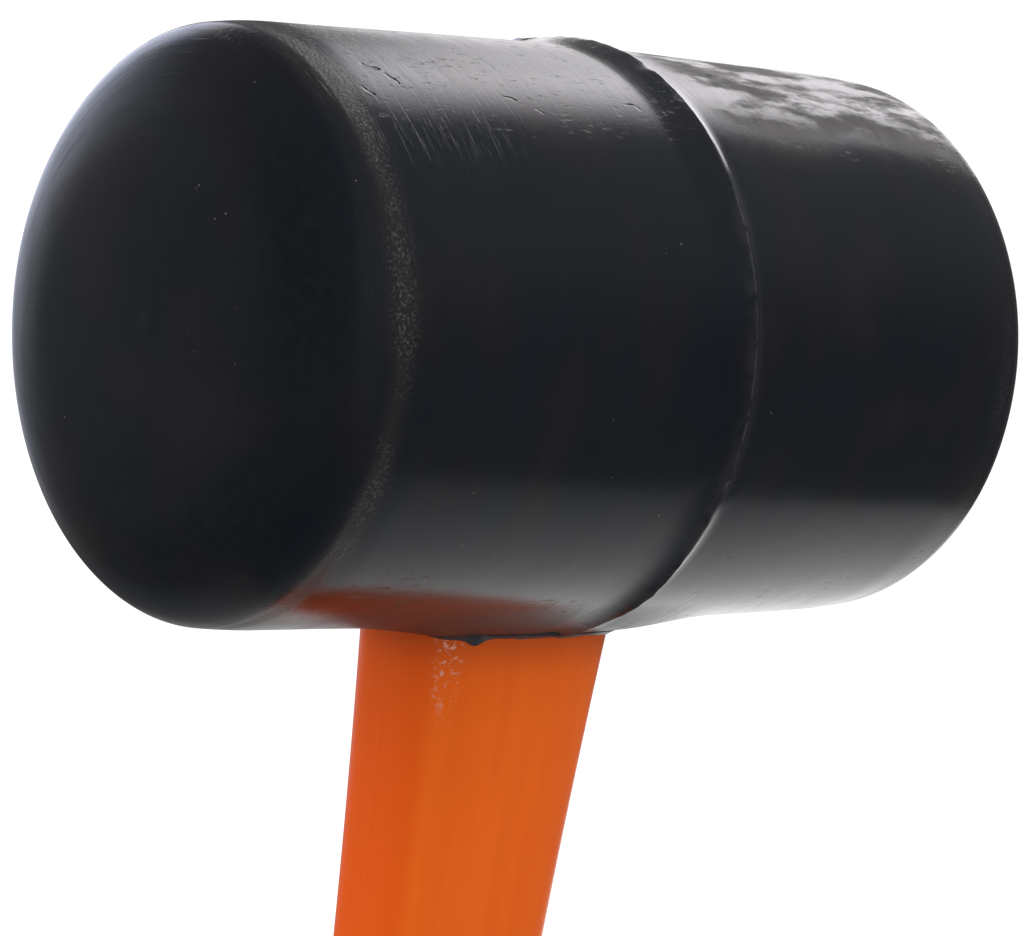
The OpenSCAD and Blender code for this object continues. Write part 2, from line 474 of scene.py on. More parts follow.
def make_head_skin():
    x, r = head_profile()
    normal_x, normal_r = profile_normals(x, r)
    angles = np.linspace(0, 2 * math.pi, HEAD_SEGMENTS, endpoint=False)
    turned = np.where(angles > math.pi, angles - 2 * math.pi, angles)
    crest = np.where(x <= PARTING, 1 - (PARTING - x) / LIP_FLARE, 1 - (x - PARTING) / LIP_BACK)
    crest = np.clip(crest, 0, 1)[:, None]
    # The lip is torn only near its crest, so that the flare beside it stays smooth
    torn, waver = lip_wear(angles)
    tear = crest ** TEAR_SWEEP
    ring_r = r[:, None] + (lip_tongue(angles) - LIP_HEIGHT * torn) * tear
    ring_x = x[:, None] + waver * tear
    # Below, the flare hollows out to a narrow lip
    sweep = LIP_SWEEP + LIP_HOLLOW * smooth(*HOLLOW_TURNS, np.abs(turned))
    hollow = crest ** LIP_SWEEP - crest ** sweep
    ring_r = ring_r - LIP_HEIGHT * np.where((x <= PARTING)[:, None], hollow, 0)
    # Around the neck, the rubber swells and the lip sinks into it
    swell = np.where(np.cos(angles) < 0, mouth_swell(ring_x, ring_r * np.sin(angles)), 0)
    sink = LIP_HEIGHT * LIP_SINK * crest ** LIP_SWEEP * swell / MOUTH_SWELL
    ring_r = ring_r + swell - sink
    # Unevenness and wear press the skin inwards
    points = head_points(ring_x, ring_r, angles)
    uneven = sum(depth * (0.5 + 0.5 * grain(points, size, seed)) for depth, size, seed in UNEVEN_NOISES)
    rim = end_share(-x, r, RIM_REACH, RIM_RADII)[:, None] * bell(turned, *RIM_TURN)
    press = uneven * (1 - crest) + RIM_WEAR * rim
    points = head_points(ring_x - normal_x * press, ring_r - normal_r * press, angles)
    flat = points[1:-1].reshape(-1, 3)
    faces = band_faces(len(x) - 2, HEAD_SEGMENTS)
    near_pole = len(flat)
    far_pole = near_pole + 1
    last = near_pole - HEAD_SEGMENTS
    for i in range(HEAD_SEGMENTS):
        j = (i + 1) % HEAD_SEGMENTS
        faces.append((near_pole, j, i))
        faces.append((far_pole, last + i, last + j))
    flat = np.vstack([flat, [(x[0], 0, HEAD_AXIS), (x[-1], 0, HEAD_AXIS)]])
    return add_object("mallet_head", flat, faces)


def tenon_rings(grow):
    """Barbed rings of the tenon, or of its socket when grown by the bond line."""
    pitch = (TENON_TIP - UNDERSIDE - TENON_LEAD) / BARBS
    rings = []
    for barb in range(BARBS):
        low = UNDERSIDE + TENON_LEAD + barb * pitch
        high = low + pitch
        if barb == BARBS - 1:
            high += grow
        draw_low = TENON_TAPER * barb / BARBS
        draw_high = TENON_TAPER * (barb + 1) / BARBS + BARB_DEPTH
        rings.append(oval_ring(low, NECK, HANDLE_POWER, grow - draw_low))
        rings.append(oval_ring(high, NECK, HANDLE_POWER, grow - draw_high))
    return rings


def flare_half(height):
    """Half sizes of the handle's section at a height."""
    t = np.clip((height - UNDERSIDE + FLARE_LENGTH) / FLARE_LENGTH, 0, None)
    return tuple(t0 + (n0 - t0) * t * t for t0, n0 in zip(THROAT, NECK))


def make_mouth_flash():
    """Thin ragged rubber skirt that was squeezed out around the neck."""
    neck = oval(OVAL_ANGLES, (NECK[0] + BOND_LINE / 2, NECK[1] + BOND_LINE / 2), HANDLE_POWER)
    outward = neck / np.linalg.norm(neck, axis=1)[:, None]
    foot = HEAD_AXIS - np.sqrt(side_radius(neck[:, 0]) ** 2 - neck[:, 1] ** 2)
    foot -= mouth_swell(neck[:, 0], neck[:, 1])
    around = np.column_stack([neck, np.zeros(OVAL_POINTS)])
    drop = FLASH_DROP + layered(around, FLASH_NOISES)
    drop += TAB_DROP * bell(OVAL_ANGLES, *TAB_TURN)
    turn = np.linspace(0, 2 * math.pi, OVAL_POINTS, endpoint=False)
    drop *= 1 - FLASH_LOSS * bell(np.cos(turn), -1, LOSS_WIDTH)
    drop = np.clip(drop, FLASH_LEAST, None)
    root = foot + FLASH_ROOT
    section = [(out, foot - drop * down) for out, down in FLASH_SECTION]
    section = [(section[0][0], root), *section, (section[-1][0], root)]
    rings = [np.column_stack([neck + outward * out * FLASH_THICKNESS, level]) for out, level in section]
    return sleeve("mouth_flash", np.array(rings))


def store_head_wear(head):
    """Where the head's rubber is worn, dull or lit, and where its lip gets a painted highlight, for its
    material.
    """
    x, y, z = vertices(head).T
    r = np.hypot(y, z - HEAD_AXIS)
    turn = np.arctan2(y, z - HEAD_AXIS)
    # Wear sits where the oval edge turns most tightly into the side, less at the far end
    from_edge = np.hypot(np.abs(x) - (HALF_LENGTH - EDGE_IN), r - (HEAD_RADIUS - EDGE_DOWN))
    store(head, "edge_band", bell(from_edge, 0, EDGE_BAND) * np.where(x < 0, 1.0, FAR_EDGE_SHARE))
    # The lip gets a painted highlight along its crest, and is rubbed on its near side
    highlight_share = HIGHLIGHT_LEAST + HIGHLIGHT_GAIN * sum(bell(turn, *stretch) for stretch in HIGHLIGHT_STRETCHES)
    on_crest = bell(x, PARTING + 0.1 * MM, 0.22 * MM) * (r > HEAD_RADIUS - 0.3 * MM)
    store(head, "crest_highlight", highlight_share * on_crest)
    store(head, "lip_rub", bell(x, PARTING - 0.5 * MM, 0.7 * MM) * smooth(0.7, 1.1, np.abs(turn)))
    flare_start = PARTING - LIP_FLARE
    on_flare = smooth(flare_start, flare_start + 1.5 * MM, x) * (x < PARTING + LIP_FOOT)
    store(head, "flare", on_flare)
    # Marks gather along the top and the underside
    marked_top = smooth(0.80, 0.45, np.abs(turn + 0.1))
    marked_below = 0.8 * smooth(2.0, 2.3, np.abs(turn))
    store(head, "lit", np.maximum(marked_top, marked_below))
    far_side = smooth(PARTING + 2 * MM, PARTING + 9 * MM, x) * smooth(HALF_LENGTH, HALF_LENGTH - 8 * MM, x)
    store(head, "smear", far_side * smooth(0.66, 0.36, np.abs(turn + 0.10)))
    near_side = smooth(PARTING - 2 * MM, PARTING - 8 * MM, x) * bell(x, -38 * MM, 11 * MM)
    store(head, "scrape", near_side * smooth(1.5, 0.6, np.abs(turn + 0.4)))
    # The underside is dull beside the neck
    beside = np.maximum(np.abs(x - DULL_MIDDLE) - DULL_HALF, 0) / DULL_STRETCH
    dull = smooth(*DULL_REACH, np.hypot(beside, y)) * (z < HEAD_AXIS)
    store(head, "mouth", dull * smooth(HEAD_RADIUS - 6 * MM, HEAD_RADIUS - 2 * MM, r))
    store(head, "face", smooth(HEAD_RADIUS - 1.5 * MM, HEAD_RADIUS - 7 * MM, r))


def make_head():
    head = make_head_skin()
    below = UNDERSIDE - CUT_REACH
    socket = loft("socket", np.array([
        oval_ring(below, flare_half(below), HANDLE_POWER, BOND_LINE),
        oval_ring(UNDERSIDE, NECK, HANDLE_POWER, BOND_LINE),
        *tenon_rings(BOND_LINE),
    ]))
    cut(head, socket)
    join(head, make_mouth_flash())
    shade(head)
    store_head_wear(head)
    return head


# Handle jacket

def key_spans():
    """Lower and upper level of each key groove that holds the grip, from the lowest up."""
    pitch = (GRIP_TOP - FOOT) / (KEYS + 1)
    middles = [FOOT + key * pitch for key in range(1, KEYS + 1)]
    return [(middle - KEY_WIDTH / 2, middle + KEY_WIDTH / 2) for middle in middles]


def make_jacket():
    rings = [oval_ring(FOOT, SEAT, HANDLE_POWER)]
    for low, high in key_spans():
        for level, sunk in ((low, 0), (low, KEY_DEPTH), (high, KEY_DEPTH), (high, 0)):
            rings.append(oval_ring(level, SEAT, HANDLE_POWER, -sunk))
    rings.append(oval_ring(GRIP_TOP, SEAT, HANDLE_POWER))
    for level in side_points(GRIP_TOP, UNDERSIDE + NECK_RUN, HANDLE_STEP):
        ring = oval_ring(level, flare_half(min(level, UNDERSIDE)), HANDLE_POWER)
        seam = SEAM_HEIGHT * bell(ring[:, 1], 0, SEAM_WIDTH)
        ring[:, 0] += np.sign(ring[:, 0]) * seam
        rings.append(ring)
    rings.extend(tenon_rings(0))
    # Back down through the round bore that holds the core
    turn = np.arctan2(rings[0][:, 1], rings[0][:, 0])
    bore = np.column_stack([CORE_BORE * np.cos(turn), CORE_BORE * np.sin(turn)])
    for level in (TENON_TIP, FOOT):
        rings.append(np.column_stack([bore, np.full(OVAL_POINTS, level)]))
    rings = np.array(rings)
    jacket = sleeve("mallet_handle", rings)
    x, y, z = rings.reshape(-1, 3).T
    # A scuffed corner at the front, painted shade just under the head, and painted shade on the narrow sides
    corner = bell(np.arctan2(y / NECK[1], x / NECK[0]), *SCUFF_TURN)
    store(jacket, "scuff", corner * smooth(UNDERSIDE - 12 * MM, UNDERSIDE - 1 * MM, z))
    store(jacket, "under_head_shade", smooth(UNDERSIDE - 5 * MM, UNDERSIDE + 1 * MM, z))
    store(jacket, "narrow", smooth(0.74, 0.86, np.abs(x) / np.hypot(x, y * NECK[0] / NECK[1])))
    shade(jacket)
    return jacket


# Rubber grip

def ease(first, last, share):
    return first + (last - first) * (1 - math.cos(math.pi * share)) / 2


def grip_wall(height):
    if height <= BUTT_CREST:
        return BUTT_WALL
    if height <= WAIST:
        return ease(BUTT_WALL, WAIST_WALL, (height - BUTT_CREST) / (WAIST - BUTT_CREST))
    if height <= PALM:
        return ease(WAIST_WALL, PALM_WALL, (height - WAIST) / (PALM - WAIST))
    return ease(PALM_WALL, COLLAR_WALL, (height - PALM) / (GRIP_TOP - PALM))


def grip_power(height):
    if height <= PALM:
        return GRIP_POWER
    return ease(GRIP_POWER, HANDLE_POWER, (height - PALM) / (GRIP_TOP - PALM))


def groove(share):
    """Depth share across one pitch: a flat rib, then a groove with rounded shoulders."""
    return smooth(*GROOVE_IN, share) * smooth(*GROOVE_OUT, share)


def grip_ring(height, inset=0.0):
    return oval_ring(height, SEAT, grip_power(height), grip_wall(height) - inset)


def make_grip():
    rings = []
    for turn in np.linspace(0, math.pi / 2, BUTT_RINGS):
        rings.append(grip_ring(BUTT_ROUND * (1 - math.cos(turn)), BUTT_ROUND * (1 - math.sin(turn))))
    for level in side_points(BUTT_ROUND, GROOVES_LOW, GRIP_STEP)[1:-1]:
        rings.append(grip_ring(level))
    for index in range(GROOVES):
        for share in np.linspace(0, 1, GROOVE_RINGS + 1)[:-1]:
            level = GROOVES_LOW + (index + share) * GROOVE_PITCH
            rings.append(grip_ring(level, GROOVE_DEPTH * groove(share)))
    for level in side_points(GROOVES_HIGH, GRIP_END - COLLAR_ROUND, GRIP_STEP):
        rings.append(grip_ring(level))
    for turn in np.linspace(0, math.pi / 2, COLLAR_RINGS)[1:]:
        level = GRIP_END - COLLAR_ROUND * (1 - math.sin(turn))
        rings.append(grip_ring(level, COLLAR_ROUND * (1 - math.cos(turn))))
    # Inside, down over the keys to the foot of the handle
    rings.append(oval_ring(GRIP_END, SEAT, HANDLE_POWER, GRIP_CLEARANCE))
    for low, high in reversed(key_spans()):
        for level, sunk in ((high, 0), (high, KEY_DEPTH), (low, KEY_DEPTH), (low, 0)):
            rings.append(oval_ring(level, SEAT, HANDLE_POWER, GRIP_CLEARANCE - sunk))
    rings.append(oval_ring(FOOT - GRIP_CLEARANCE, SEAT, HANDLE_POWER, GRIP_CLEARANCE))
    grip = loft("mallet_grip", np.array(rings))
    cut(grip, hang_cutter())
    for side in (-1, 1):
        cut(grip, land_cutter(side))
    shade(grip)
    z = vertices(grip)[:, 2]
    share = ((z - GROOVES_LOW) / GROOVE_PITCH) % 1.0
    store(grip, "groove", groove(share) * ((z > GROOVES_LOW) & (z < GROOVES_HIGH)))
    return grip


def turned_along_y(name, profile):
    """Solid turned about the hanging hole's axis, from (radius, y) points."""
    turn = np.linspace(0, 2 * math.pi, HANG_SIDES, endpoint=False)
    rings = []
    for radius, y in profile:
        ring = np.column_stack([
            radius * np.sin(turn),
            np.full(HANG_SIDES, y),
            HANG_HEIGHT + radius * np.cos(turn),
        ])
        rings.append(ring)
    return loft(name, np.array(rings))


def hang_cutter():
    """The hanging hole, with its two mouths rounded over."""
    half = HANG_LENGTH / 2
    profile = [(HANG_RADIUS + HANG_ROUND, -half - CUT_REACH)]
    for turn in np.linspace(0, math.pi / 2, HANG_RINGS):
        radius = HANG_RADIUS + HANG_ROUND * (1 - math.sin(turn))
        profile.append((radius, -half + HANG_ROUND * (1 - math.cos(turn))))
    profile += [(radius, -y) for radius, y in reversed(profile)]
    return turned_along_y("hang_cutter", profile)


def land_cutter(side):
    """The flat round land at one mouth of the hanging hole."""
    half = HANG_LENGTH / 2
    return turned_along_y("land_cutter", [(HANG_LAND, side * half), (HANG_LAND, side * (half + CUT_REACH))])


# Material building

class Surface:
    """A material with one Principled shader, and short calls that add the nodes in front of it."""

    def __init__(self, name):
        self.material = bpy.data.materials.new(name)
        self.material.use_nodes = True
        self.nodes = self.material.node_tree.nodes
        self.links = self.material.node_tree.links
        self.shader = self.nodes["Principled BSDF"]
        self.place = self.nodes.new("ShaderNodeTexCoord").outputs["Object"]

    def feed(self, socket, value):
        """Links a socket, or sets a number or a colour of three shares."""
        if isinstance(value, bpy.types.NodeSocket):
            self.links.new(value, socket)
        elif isinstance(value, tuple):
            socket.default_value = (*value, 1.0)
        else:
            socket.default_value = value

    def set(self, name, value):
        self.feed(self.shader.inputs[name], value)

    def stretch(self, scale):
        node = self.nodes.new("ShaderNodeVectorMath")
        node.operation = "MULTIPLY"
        self.feed(node.inputs[0], self.place)
        node.inputs[1].default_value = scale
        return node.outputs[0]

    def noise(self, size, detail=2.0, stretch=(1, 1, 1), rough=0.5):
        """Noise from 0 to 1 with features of that size, shorter where an axis is stretched more."""
        node = self.nodes.new("ShaderNodeTexNoise")
        self.feed(node.inputs["Vector"], self.stretch(stretch))
        node.inputs["Scale"].default_value = 1 / size
        node.inputs["Detail"].default_value = detail
        node.inputs["Roughness"].default_value = rough
        return node.outputs["Fac"]

    def patches(self, low, high, size, detail=2.0, stretch=(1, 1, 1), rough=0.5):
        """Patches where such a noise rises from low to high."""
        return self.span(self.noise(size, detail, stretch, rough), low, high)

    def specks(self, spacing, radius):
        """Small round spots, each of its own size, one in some of the cells of that spacing."""
        node = self.nodes.new("ShaderNodeTexVoronoi")
        self.feed(node.inputs["Vector"], self.place)
        node.inputs["Scale"].default_value = 1 / spacing
        split = self.nodes.new("ShaderNodeSeparateColor")
        self.feed(split.inputs[0], node.outputs["Color"])
        size = self.math("POWER", split.outputs[0], 4.0)
        reach = self.math("MULTIPLY", size, radius / spacing)
        gap = self.math("SUBTRACT", reach, node.outputs["Distance"])
        return self.span(gap, 0.0, 0.25 * radius / spacing)

    def math(self, operation, first, second=0.0):
        node = self.nodes.new("ShaderNodeMath")
        node.operation = operation
        self.feed(node.inputs[0], first)
        self.feed(node.inputs[1], second)
        return node.outputs[0]

    def span(self, value, low, high, start=0.0, end=1.0):
        """Value mapped smoothly from low..high to start..end, and held outside."""
        node = self.nodes.new("ShaderNodeMapRange")
        node.interpolation_type = "SMOOTHSTEP"
        self.feed(node.inputs["Value"], value)
        node.inputs["From Min"].default_value = low
        node.inputs["From Max"].default_value = high
        node.inputs["To Min"].default_value = start
        node.inputs["To Max"].default_value = end
        return node.outputs["Result"]

    def times(self, first, second):
        return self.math("MULTIPLY", first, second)

    def plus(self, first, second):
        return self.math("ADD", first, second)

    def less(self, first, second):
        return self.math("SUBTRACT", first, second)

    def stored(self, name):
        node = self.nodes.new("ShaderNodeAttribute")
        node.attribute_name = name
        return node.outputs["Fac"]

    def mix(self, share, first, second):
        """Colour between the first and the second."""
        node = self.nodes.new("ShaderNodeMix")
        node.data_type = "RGBA"
        self.feed(node.inputs["Factor"], share)
        # The two colour sockets come after those for numbers and vectors
        self.feed(node.inputs[6], first)
        self.feed(node.inputs[7], second)
        return node.outputs[2]

    def paint(self, colour, *layers):
        """Layers of (share, colour), laid one over the other."""
        for share, tint in layers:
            colour = self.mix(share, colour, tint)
        self.set("Base Color", colour)

    def roughen(self, rough, *layers):
        """Layers of (share, change), added up."""
        for share, change in layers:
            rough = self.plus(rough, self.times(share, change))
        self.set("Roughness", rough)

    def along(self, direction):
        """Distance along a direction from the origin."""
        node = self.nodes.new("ShaderNodeVectorMath")
        node.operation = "DOT_PRODUCT"
        self.feed(node.inputs[0], self.place)
        node.inputs[1].default_value = direction
        return node.outputs["Value"]

    def bump(self, *layers):
        """Bumps of (height from 0 to 1, depth in metres), laid one over the other."""
        normal = None
        for height, depth in layers:
            node = self.nodes.new("ShaderNodeBump")
            node.inputs["Strength"].default_value = 1.0
            node.inputs["Distance"].default_value = depth
            self.feed(node.inputs["Height"], height)
            if normal:
                self.feed(node.inputs["Normal"], normal)
            normal = node.outputs["Normal"]
        self.set("Normal", normal)


# Materials

# Cuts seen in the head's side: place along the head, turn around it, length, width, lean from the axis
NICKS = [
    (-40.4 * MM, -0.545, 1.8 * MM, 0.30 * MM, -0.95),
    (-37.4 * MM, -0.406, 2.4 * MM, 0.24 * MM, -0.55),
    (-36.0 * MM, -0.470, 2.2 * MM, 0.32 * MM, -1.10),
    (-22.0 * MM, -0.535, 2.0 * MM, 0.24 * MM, -0.60),
    (-5.0 * MM, -0.532, 2.2 * MM, 0.24 * MM, -0.35),
    (-19.0 * MM, -0.590, 1.2 * MM, 0.22 * MM, -0.80),
    (3.8 * MM, -2.452, 2.0 * MM, 0.30 * MM, 0.40),
]
# Bends of the cuts, and how far below the side's surface they are still read
NICK_BEND_SIZE = 1.3 * MM
NICK_BEND = 1.6 * MM
NICK_REACH = (6 * MM, 3 * MM)


def nick_share(s, x, turn, length, width, lean):
    """A cut in the head's side, a little bent, 1 along its middle."""
    out = Vector((0, math.sin(turn), math.cos(turn)))
    around = Vector((0, math.cos(turn), -math.sin(turn)))
    axis = Vector((1, 0, 0))
    centre = HEAD_MIDDLE + axis * x + out * HEAD_RADIUS
    run = axis * math.cos(lean) + around * math.sin(lean)
    over = around * math.cos(lean) - axis * math.sin(lean)
    off_run = s.math("ABSOLUTE", s.less(s.along(run), run.dot(centre)))
    bend = s.times(s.less(s.noise(NICK_BEND_SIZE), 0.5), NICK_BEND)
    off_over = s.math("ABSOLUTE", s.less(s.plus(s.along(over), bend), over.dot(centre)))
    share = s.times(s.span(off_run, length / 2, length / 4), s.span(off_over, width, 0.0))
    depth = out.dot(centre)
    deep, full = NICK_REACH
    return s.times(share, s.span(s.along(out), depth - deep, depth - full))


RUBBER_DEEP = (0.0028, 0.0049, 0.0088)
RUBBER_PLAIN = (0.0044, 0.0065, 0.0108)
RUBBER_BROWN = (0.0088, 0.0075, 0.0098)
RUBBER_MOTTLE = (0.0100, 0.0110, 0.0135)
EDGE_RUBBED = (0.0170, 0.0160, 0.0165)
EDGE_WORN = (0.060, 0.054, 0.056)
MOUTH_DULL = (0.050, 0.054, 0.062)
LIP_RUBBED = (0.017, 0.017, 0.019)
SMEAR_BROWN = (0.020, 0.015, 0.015)
# Painted highlight along the lip's crest
CREST_HIGHLIGHT = (0.07, 0.07, 0.073)
HEAD_DUST = (0.09, 0.09, 0.087)


def head_rubber():
    s = Surface("head_rubber")
    face = s.stored("face")
    mouth = s.stored("mouth")
    edge = s.stored("edge_band")
    cloud = s.noise(22 * MM, 3)
    fine = s.noise(0.35 * MM)
    # Streaks and scratches run around the head: short along it, long across
    streaks = s.noise(7 * MM, 3, (30, 1, 1), 0.6)
    scrape = s.times(s.stored("scrape"), s.patches(0.64, 0.72, 6 * MM, 2, (40, 1, 1)))
    # Short shallow marks lie along the head, in loose groups
    marks = s.patches(0.56, 0.70, 1.8 * MM, 4, (1, 2.8, 2.8), 0.62)
    marks = s.times(marks, s.patches(0.40, 0.60, 7 * MM))
    marks = s.times(marks, s.span(s.stored("lit"), 0.0, 1.0, 0.15, 1.0))
    marks = s.times(marks, s.less(1.0, face))
    nicks = 0.0
    for nick in NICKS:
        nicks = s.math("MAXIMUM", nicks, nick_share(s, *nick))
    edge_grain = s.times(edge, s.patches(0.46, 0.68, 0.32 * MM, 3))
    edge_wear = s.times(edge_grain, s.patches(0.46, 0.66, 8 * MM))
    smear = s.times(s.stored("smear"), s.patches(0.39, 0.59, 6 * MM, 5, (0.55, 1.3, 1.3), 0.62))
    mottle = s.times(face, s.patches(0.40, 0.70, 1.1 * MM, 5, rough=0.65))
    rub = s.times(s.stored("lip_rub"), s.patches(0.30, 0.62, 2.4 * MM, 3))
    # Painted highlight along the lip's crest, in stretches
    crest = s.times(s.stored("crest_highlight"), s.patches(0.32, 0.56, 1.6 * MM))
    s.paint(
        RUBBER_DEEP,
        (s.span(cloud, 0.3, 0.7), RUBBER_PLAIN),
        (s.patches(0.46, 0.70, 15 * MM, 3, (1.8, 1, 1)), RUBBER_BROWN),
        (s.times(mottle, 0.4), RUBBER_MOTTLE),
        (s.times(edge, 0.7), EDGE_RUBBED),
        (edge_wear, EDGE_WORN),
        (s.times(mouth, 0.4), MOUTH_DULL),
        (s.times(rub, 0.8), LIP_RUBBED),
        (smear, SMEAR_BROWN),
        (crest, CREST_HIGHLIGHT),
        (s.specks(2.2 * MM, 0.15 * MM), HEAD_DUST),
    )
    s.roughen(
        s.span(cloud, 0.25, 0.75, 0.15, 0.20),
        (s.span(streaks, 0.35, 0.7), 0.07),
        (marks, 0.16),
        (edge, 0.16),
        (s.stored("flare"), -0.06),
        (face, 0.19),
        (smear, 0.38),
        (mouth, 0.21),
    )
    s.set("Specular IOR Level", 0.5)
    s.bump(
        (fine, 0.008 * MM),
        (streaks, 0.010 * MM),
        (edge_grain, 0.022 * MM),
        (s.less(1.0, s.plus(scrape, s.times(marks, 0.45))), 0.03 * MM),
        (s.less(1.0, nicks), 0.12 * MM),
    )
    return s.material


ORANGE_DEEP = (0.725, 0.108, 0.0060)
ORANGE_PLAIN = (0.770, 0.124, 0.0075)
ORANGE_FLOW = (0.69, 0.098, 0.0060)
# Painted shade on the handle's narrow sides: a darker, redder orange
ORANGE_NARROW_SHADE = (0.745, 0.094, 0.0045)
# Painted shade just under the head
UNDER_HEAD_SHADE = (0.33, 0.045, 0.010)
SCUFF = (0.68, 0.38, 0.31)
HANDLE_SPECK = (0.70, 0.36, 0.26)


def orange_plastic():
    s = Surface("orange_plastic")
    cloud = s.noise(30 * MM, 3)
    peel = s.noise(1.1 * MM)
    # Faint flow lines run up the handle
    flow = s.noise(26 * MM, 3, (11, 11, 1))
    scuff = s.times(s.stored("scuff"), s.patches(0.52, 0.68, 0.6 * MM, 3, rough=0.6))
    s.paint(
        ORANGE_DEEP,
        (s.span(cloud, 0.3, 0.7), ORANGE_PLAIN),
        (s.span(flow, 0.35, 0.7, 0.0, 0.5), ORANGE_FLOW),
        # painted shade on the narrow sides
        (s.stored("narrow"), ORANGE_NARROW_SHADE),
        # painted shade just under the head
        (s.times(s.stored("under_head_shade"), 0.55), UNDER_HEAD_SHADE),
        (scuff, SCUFF),
        (s.specks(4.2 * MM, 0.22 * MM), HANDLE_SPECK),
    )
    s.roughen(s.span(cloud, 0.25, 0.75, 0.30, 0.38), (scuff, 0.3))
    s.set("Specular IOR Level", 0.13)
    s.bump((peel, 0.006 * MM), (flow, 0.03 * MM), (scuff, 0.03 * MM))
    return s.material


GRIP_DEEP = (0.0120, 0.0122, 0.0130)
GRIP_PLAIN = (0.0190, 0.0190, 0.0198)
GROOVE_DUST = (0.060, 0.056, 0.050)
GRIP_DUST = (0.17, 0.17, 0.16)


def grip_rubber():
    s = Surface("grip_rubber")
    cloud = s.noise(18 * MM, 3)
    stipple = s.noise(0.55 * MM, 1)
    dusty = s.times(s.stored("groove"), s.patches(0.40, 0.68, 2.2 * MM, 3))
    s.paint(
        GRIP_DEEP,
        (s.span(cloud, 0.3, 0.7), GRIP_PLAIN),
        (s.times(dusty, 0.5), GROOVE_DUST),
        (s.specks(3.4 * MM, 0.18 * MM), GRIP_DUST),
    )
    s.roughen(s.span(cloud, 0.25, 0.75, 0.46, 0.58), (dusty, 0.2))
    s.bump((stipple, 0.05 * MM), (cloud, 0.10 * MM))
    return s.material


FIBRE_DEEP = (0.60, 0.55, 0.36)
FIBRE_PALE = (0.76, 0.72, 0.54)
RESIN = (0.52, 0.46, 0.28)


def glass_fibre():
    s = Surface("glass_fibre")
    # Fibres run along the rod
    strands = s.noise(24 * MM, 4, (60, 60, 1))
    cloud = s.noise(12 * MM)
    s.paint(
        FIBRE_DEEP,
        (s.span(strands, 0.35, 0.65), FIBRE_PALE),
        (s.span(cloud, 0.45, 0.75, 0.0, 0.35), RESIN),
    )
    s.roughen(s.span(strands, 0.3, 0.7, 0.34, 0.52))
    s.bump((strands, 0.03 * MM))
    return s.material


# Pieces

def dress(item, material, node):
    item.data.materials.clear()
    item.data.materials.append(material)
    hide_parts(node)
    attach(item, "root")


dress(make_head(), head_rubber(), "rubber_head")
dress(make_jacket(), orange_plastic(), "handle_jacket")
dress(make_grip(), grip_rubber(), "rubber_grip")
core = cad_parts["glass_fibre_core"]
core.data.materials.clear()
core.data.materials.append(glass_fibre())


# Studio

WHITE = (1, 1, 1)
WORLD_LIGHT = 1.12
FLOOR_HALF = 30.0
FLOOR_COLOUR = (0.40, 0.40, 0.40)
FLOOR_GLOW = 0.66
# Paper to the left of the mallet, a little bluish, and the lamp, a little pink
COOL_TINT = (0.88, 0.93, 1.15)
COOL_GLOW = 0.85
LAMP_TINT = (1.0, 0.965, 1.0)
# How the lamp's sheet leans, its glow from the middle to the edge, and the glow to the left of it
LAMP_LEAN = (1.39, 0.333)
LAMP_HALF_WIDTH = 0.45
LAMP_PEAK = 3.7
LAMP_EDGE = 0.45
LAMP_LEFT = (0.17, 0.35)
LAMP_LEFT_GLOW = 1.2
# Cards beside the mallet, and the heights between which a card may change its shade
FLAG_DISTANCE = 0.42
FLAG_TOP = 1.7
FLAG_RISE = (0.32, 0.60)
# Corners of the side cards, as (distance to the back, height)
FLAG_RIGHT = [
    (-1.0, 0.0), (2.7, 0.0), (2.7, 0.34), (1.4, 0.48), (0.66, 0.60), (0.54, 0.84), (0.50, FLAG_TOP),
    (-1.0, FLAG_TOP),
]
FLAG_LEFT = [
    (-1.0, 0.0), (0.14, 0.0), (0.14, 0.36), (0.36, 0.46), (0.36, FLAG_TOP), (-1.0, FLAG_TOP),
]
# Corners of the cards above and behind the camera, as (to the back, to the right, height)
FLAG_OVERHEAD = [(-1.0, -1.2, 1.3), (-1.0, 1.2, 1.3), (0.58, 1.2, 1.3), (0.58, -1.2, 1.3)]
FLAG_FRONT = [
    (-0.9, -FLAG_DISTANCE, 0.0), (-0.9, FLAG_DISTANCE, 0.0),
    (-0.9, FLAG_DISTANCE, FLAG_TOP), (-0.9, -FLAG_DISTANCE, FLAG_TOP),
]
# Rows of the curved cards, as (elevation, right azimuth, left azimuth) in degrees
FLAG_BACK = [
    (-2.0, 52.5, 60), (5.0, 51.5, 60), (11.0, 50.3, 60), (17.5, 48.4, 60), (23.0, 46.8, 60),
    (28.0, 45.2, 60), (30.0, 44.4, 61), (31.0, 44.0, 125), (35.0, 42.0, 125), (39.0, 39.6, 125),
    (44.0, 34.9, 125), (47.5, 30.5, 125), (50.0, 26.4, 125), (53.8, 16.6, 125), (57.0, 6.0, 125),
    (61.0, -8.0, 125),
]
LEFT_GLOW = [(-2.0, 62, 102), (10.0, 62, 102), (27.0, 62, 92)]


def seen_share(nodes, links):
    """1 where a camera, mirror or see-through ray looks at the backdrop, and 0 for plain light."""
    path = nodes.new("ShaderNodeLightPath")
    share = path.outputs["Is Camera Ray"]
    for name in ("Is Glossy Ray", "Is Transmission Ray"):
        more = nodes.new("ShaderNodeMath")
        more.operation = "MAXIMUM"
        links.new(share, more.inputs[0])
        links.new(path.outputs[name], more.inputs[1])
        share = more.outputs[0]
    return share


